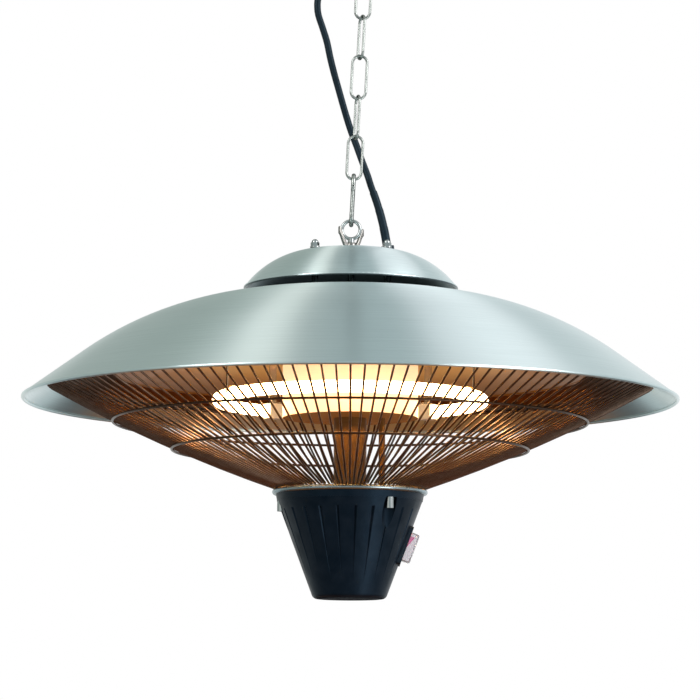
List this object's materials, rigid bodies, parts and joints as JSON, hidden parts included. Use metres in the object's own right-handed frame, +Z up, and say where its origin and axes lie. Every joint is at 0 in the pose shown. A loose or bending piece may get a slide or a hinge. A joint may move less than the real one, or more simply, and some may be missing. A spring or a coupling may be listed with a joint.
{
  "type": "hanging infrared patio heater",
  "caption": "Hanging infrared patio heater: wide brushed shade with top cap, wire grille over a ring lamp, conical housing with rocker switch, on a chain.",
  "frame": {"origin": "centre of the ceiling hook's collar, on the ceiling plane", "axes": "+Z up along the hook's shank, the pictured side faces -Y, the switch is on +X"},
  "size_m": [0.5999, 0.6, 0.7209],
  "materials": {
    "brushed_aluminium": "satin, brushed round",
    "bright_reflector": "polished",
    "hub_metal": "satin",
    "zinc_chain": "bright zinc plate",
    "chrome_hardware": "bright plate",
    "grille_wire": "bright, warm tint",
    "dark_housing": "satin",
    "black_plastic": "matte",
    "black_rubber": "satin",
    "clear_boot": "clear, soft",
    "red_rocker": "lit, gloss",
    "quartz": "clear, glowing",
    "filament_wire": "glowing",
    "ceramic": "matte"
  },
  "bodies": {
    "ceiling": {"ceiling_hook": "zinc_chain", "cord_tie": "black_plastic", "cord_coil": "black_rubber", "power_cord": "black_rubber", "plug_body": "black_plastic", "plug_pins": "chrome_hardware"},
    "link_1": {"link_1": "zinc_chain"},
    "link_2": {"link_2": "zinc_chain"},
    "link_3": {"link_3": "zinc_chain"},
    "link_4": {"link_4": "zinc_chain"},
    "link_5": {"link_5": "zinc_chain"},
    "snap": {"snap_hook": "zinc_chain", "gate_rivet": "zinc_chain"},
    "gate": {"snap_gate": "zinc_chain"},
    "rocker": {"switch_rocker": "red_rocker"},
    "heater": {"eye_bolt": "chrome_hardware", "wing_nut": "chrome_hardware", "eye_washer": "chrome_hardware", "eye_lock_nut": "chrome_hardware", "top_cap": "brushed_aluminium", "cap_nuts": "chrome_hardware", "cap_washers": "chrome_hardware", "cap_studs": "chrome_hardware", "cap_spacers": "chrome_hardware", "shade": "brushed_aluminium", "liner_spacers": "chrome_hardware", "reflector": "bright_reflector", "hub_drum": "hub_metal", "terminal_block": "ceramic", "inner_lead": "black_rubber", "centre_post": "hub_metal", "lead_tube": "hub_metal", "lamp_tube": "quartz", "lamp_filament": "filament_wire", "lamp_end_caps": "ceramic", "lamp_brackets": "chrome_hardware", "lamp_supports": "chrome_hardware", "grille_wires": "grille_wire", "grille_hoops": "grille_wire", "grille_outer_ring": "grille_wire", "grille_collar": "chrome_hardware", "cone_housing": "dark_housing", "cone_screws": "chrome_hardware", "switch_bezel": "black_plastic", "switch_body": "black_plastic", "switch_boot": "clear_boot", "cord_gland": "black_plastic", "cord_sleeve": "black_rubber"}
  },
  "joints": [
    {"name": "link_1_swing", "type": "hinge", "parent": "ceiling", "child": "link_1", "pos_m": [0, 0, -0.107], "axis": [0, 1, 0], "range_deg": [-15, 15], "deforming": ["power_cord"]},
    {"name": "link_2_swing", "type": "hinge", "parent": "link_1", "child": "link_2", "pos_m": [-0.00178, 0, -0.14351], "axis": [0.9988, 0, -0.0489], "range_deg": [-15, 15], "deforming": ["power_cord"]},
    {"name": "link_3_swing", "type": "hinge", "parent": "link_2", "child": "link_3", "pos_m": [-0.00363, 0, -0.18126], "axis": [-0.3416, 0.9397, 0.0167], "range_deg": [-15, 15], "deforming": ["power_cord"]},
    {"name": "link_4_swing", "type": "hinge", "parent": "link_3", "child": "link_4", "pos_m": [-0.00548, 0, -0.21902], "axis": [0.9988, 0, -0.0489], "range_deg": [-15, 15], "deforming": ["power_cord"]},
    {"name": "link_5_swing", "type": "hinge", "parent": "link_4", "child": "link_5", "pos_m": [-0.00732, 0, -0.25677], "axis": [-0.2585, 0.9659, 0.0126], "range_deg": [-15, 15], "deforming": ["power_cord"]},
    {"name": "snap_swing", "type": "hinge", "parent": "link_5", "child": "snap", "pos_m": [-0.00917, 0, -0.29453], "axis": [0.9988, 0, -0.0489], "range_deg": [-15, 15], "deforming": ["power_cord"]},
    {"name": "heater_swing", "type": "hinge", "parent": "snap", "child": "heater", "pos_m": [-0.01125, 0, -0.33703], "axis": [0, 1, 0], "range_deg": [-15, 15], "deforming": ["power_cord"]},
    {"name": "gate_turn", "type": "hinge", "parent": "snap", "child": "gate", "pos_m": [-0.00959, -0.008, -0.30307], "axis": [0.9988, 0, -0.0489], "range_deg": [0, 25], "stiffness_Nm_per_rad": 0.01, "springref_deg": -17.19},
    {"name": "rocker_tilt", "type": "hinge", "parent": "heater", "child": "rocker", "pos_m": [0.03792, 0, -0.6323], "axis": [0, -1, 0], "range_deg": [0, 22]}
  ]
}
